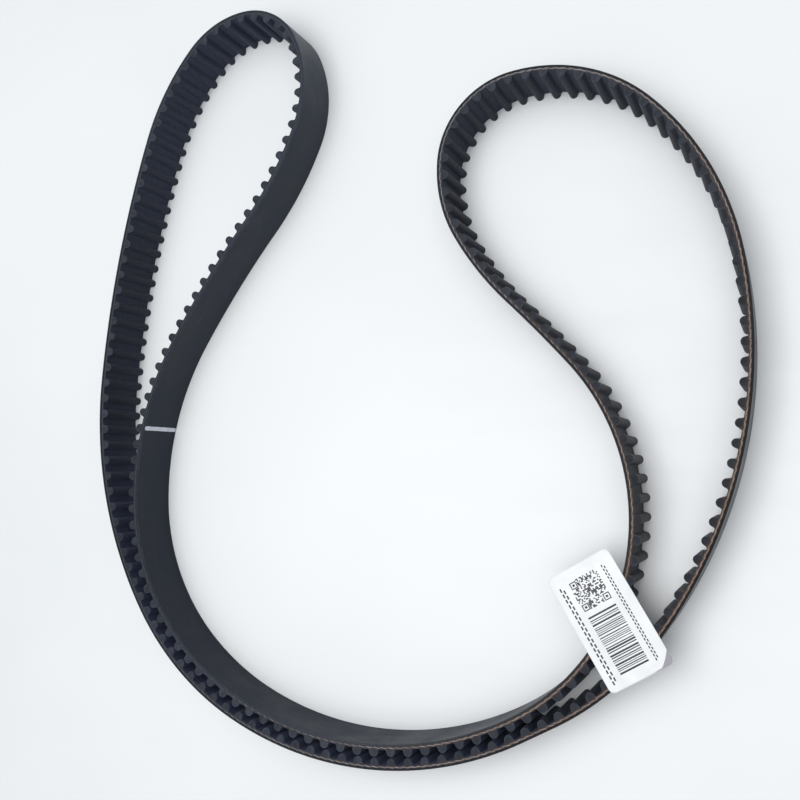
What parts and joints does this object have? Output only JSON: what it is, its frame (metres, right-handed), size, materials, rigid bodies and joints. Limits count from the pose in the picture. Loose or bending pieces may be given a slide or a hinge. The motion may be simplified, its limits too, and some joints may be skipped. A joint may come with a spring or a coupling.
{
  "type": "timing belt",
  "caption": "Endless toothed drive belt standing on one edge, bent into a horseshoe: a narrow loop and a round loop joined by strands lying tooth to tooth, with a paint mark and a label.",
  "frame": {"origin": "on the plane the belt stands on, under the middle of its outline", "axes": "+Z across the belt's width, +X towards the round loop's side, +Y towards the open side of the horseshoe"},
  "size_m": [0.3144, 0.356, 0.0263],
  "materials": {
    "backing_rubber": "satin, faintly dusty",
    "tension_cord": "twisted glass cord, rubber coated",
    "tooth_rubber": "matte, ground edge",
    "facing_fabric": "rubberised nylon twill",
    "mark_paint": "thin satin paint",
    "liner_paper": "waxed paper",
    "label_paper": "smooth coated paper"
  },
  "bodies": {
    "left_loop": {"left_loop_backing": "backing_rubber", "left_loop_cords": "tension_cord", "left_loop_tooth_rubber": "tooth_rubber", "left_loop_facing": "facing_fabric", "timing_mark": "mark_paint"},
    "lower_left_run": {"lower_left_run_backing": "backing_rubber", "lower_left_run_cords": "tension_cord", "lower_left_run_tooth_rubber": "tooth_rubber", "lower_left_run_facing": "facing_fabric"},
    "lower_right_run": {"lower_right_run_backing": "backing_rubber", "lower_right_run_cords": "tension_cord", "lower_right_run_tooth_rubber": "tooth_rubber", "lower_right_run_facing": "facing_fabric"},
    "right_loop": {"right_loop_backing": "backing_rubber", "right_loop_cords": "tension_cord", "right_loop_tooth_rubber": "tooth_rubber", "right_loop_facing": "facing_fabric", "label_liner": "liner_paper", "paper_label": "label_paper"}
  },
  "joints": [
    {"name": "left_loop_swing", "type": "hinge", "parent": "lower_left_run", "child": "left_loop", "pos_m": [-0.12564, -0.11103, 0.013], "axis": [0, 0, 1], "range_deg": [-5, 12]},
    {"name": "base_bend", "type": "hinge", "parent": "lower_left_run", "child": "lower_right_run", "pos_m": [-0.04678, -0.16797, 0.013], "axis": [0, 0, -1], "range_deg": [-5, 12]},
    {"name": "right_loop_swing", "type": "hinge", "parent": "lower_right_run", "child": "right_loop", "pos_m": [0.05458, -0.15762, 0.013], "axis": [0, 0, -1], "range_deg": [-5, 12]}
  ]
}
